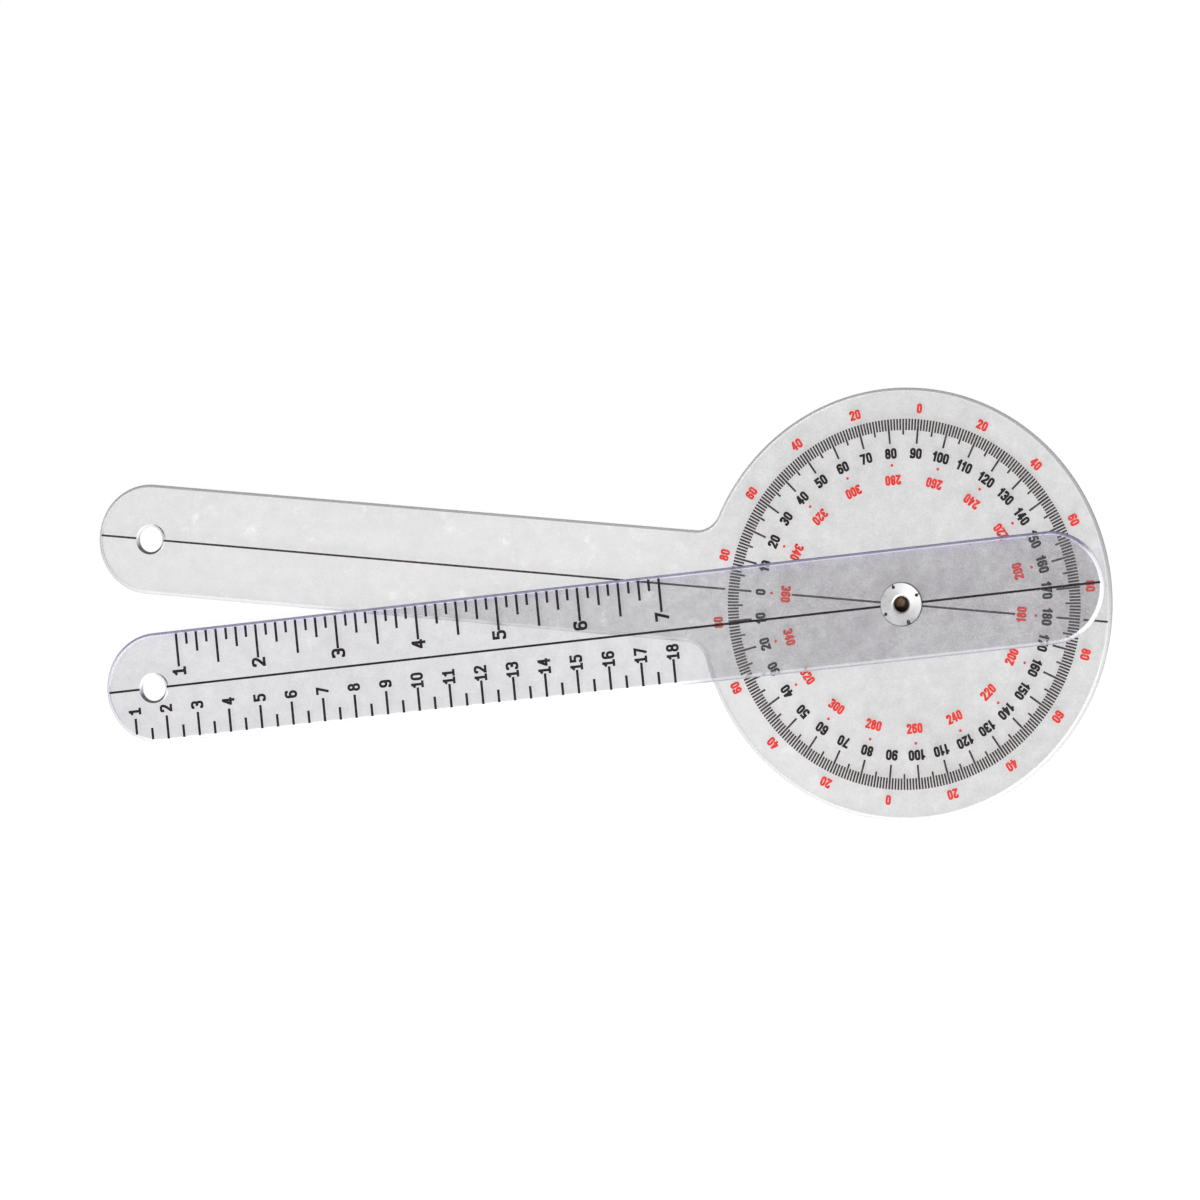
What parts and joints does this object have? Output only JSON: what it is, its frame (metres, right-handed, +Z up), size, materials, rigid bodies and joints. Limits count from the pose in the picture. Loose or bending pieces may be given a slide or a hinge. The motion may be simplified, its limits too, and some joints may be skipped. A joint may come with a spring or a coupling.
{
  "type": "angle finder",
  "caption": "Clear angle finder: a round printed dial with a fixed arm, and a ruler arm that swings over it on a rivet.",
  "frame": {"origin": "on the swing axis, in the plane of the dial arm's underside, which is the face that lies on the work", "axes": "+Z up along the swing axis, out of the printed face; -X along the dial arm, from the swing axis to its tip; +Y completes the frame"},
  "size_m": [0.315, 0.125, 0.0056],
  "materials": {
    "dial_sheet": "gloss",
    "ruler_sheet": "gloss",
    "rivet_metal": "satin",
    "black_ink": "satin",
    "red_ink": "satin"
  },
  "bodies": {
    "dial": {"dial_arm": "dial_sheet", "rivet": "rivet_metal", "dial_scale": "black_ink", "dial_dots": "red_ink"},
    "ruler": {"ruler_arm": "ruler_sheet", "ruler_scale": "black_ink"}
  },
  "joints": [
    {"name": "arm_swing", "type": "hinge", "parent": "dial", "child": "ruler", "pos_m": [0, 0, 0], "axis": [0, 0, 1], "continuous": true}
  ]
}
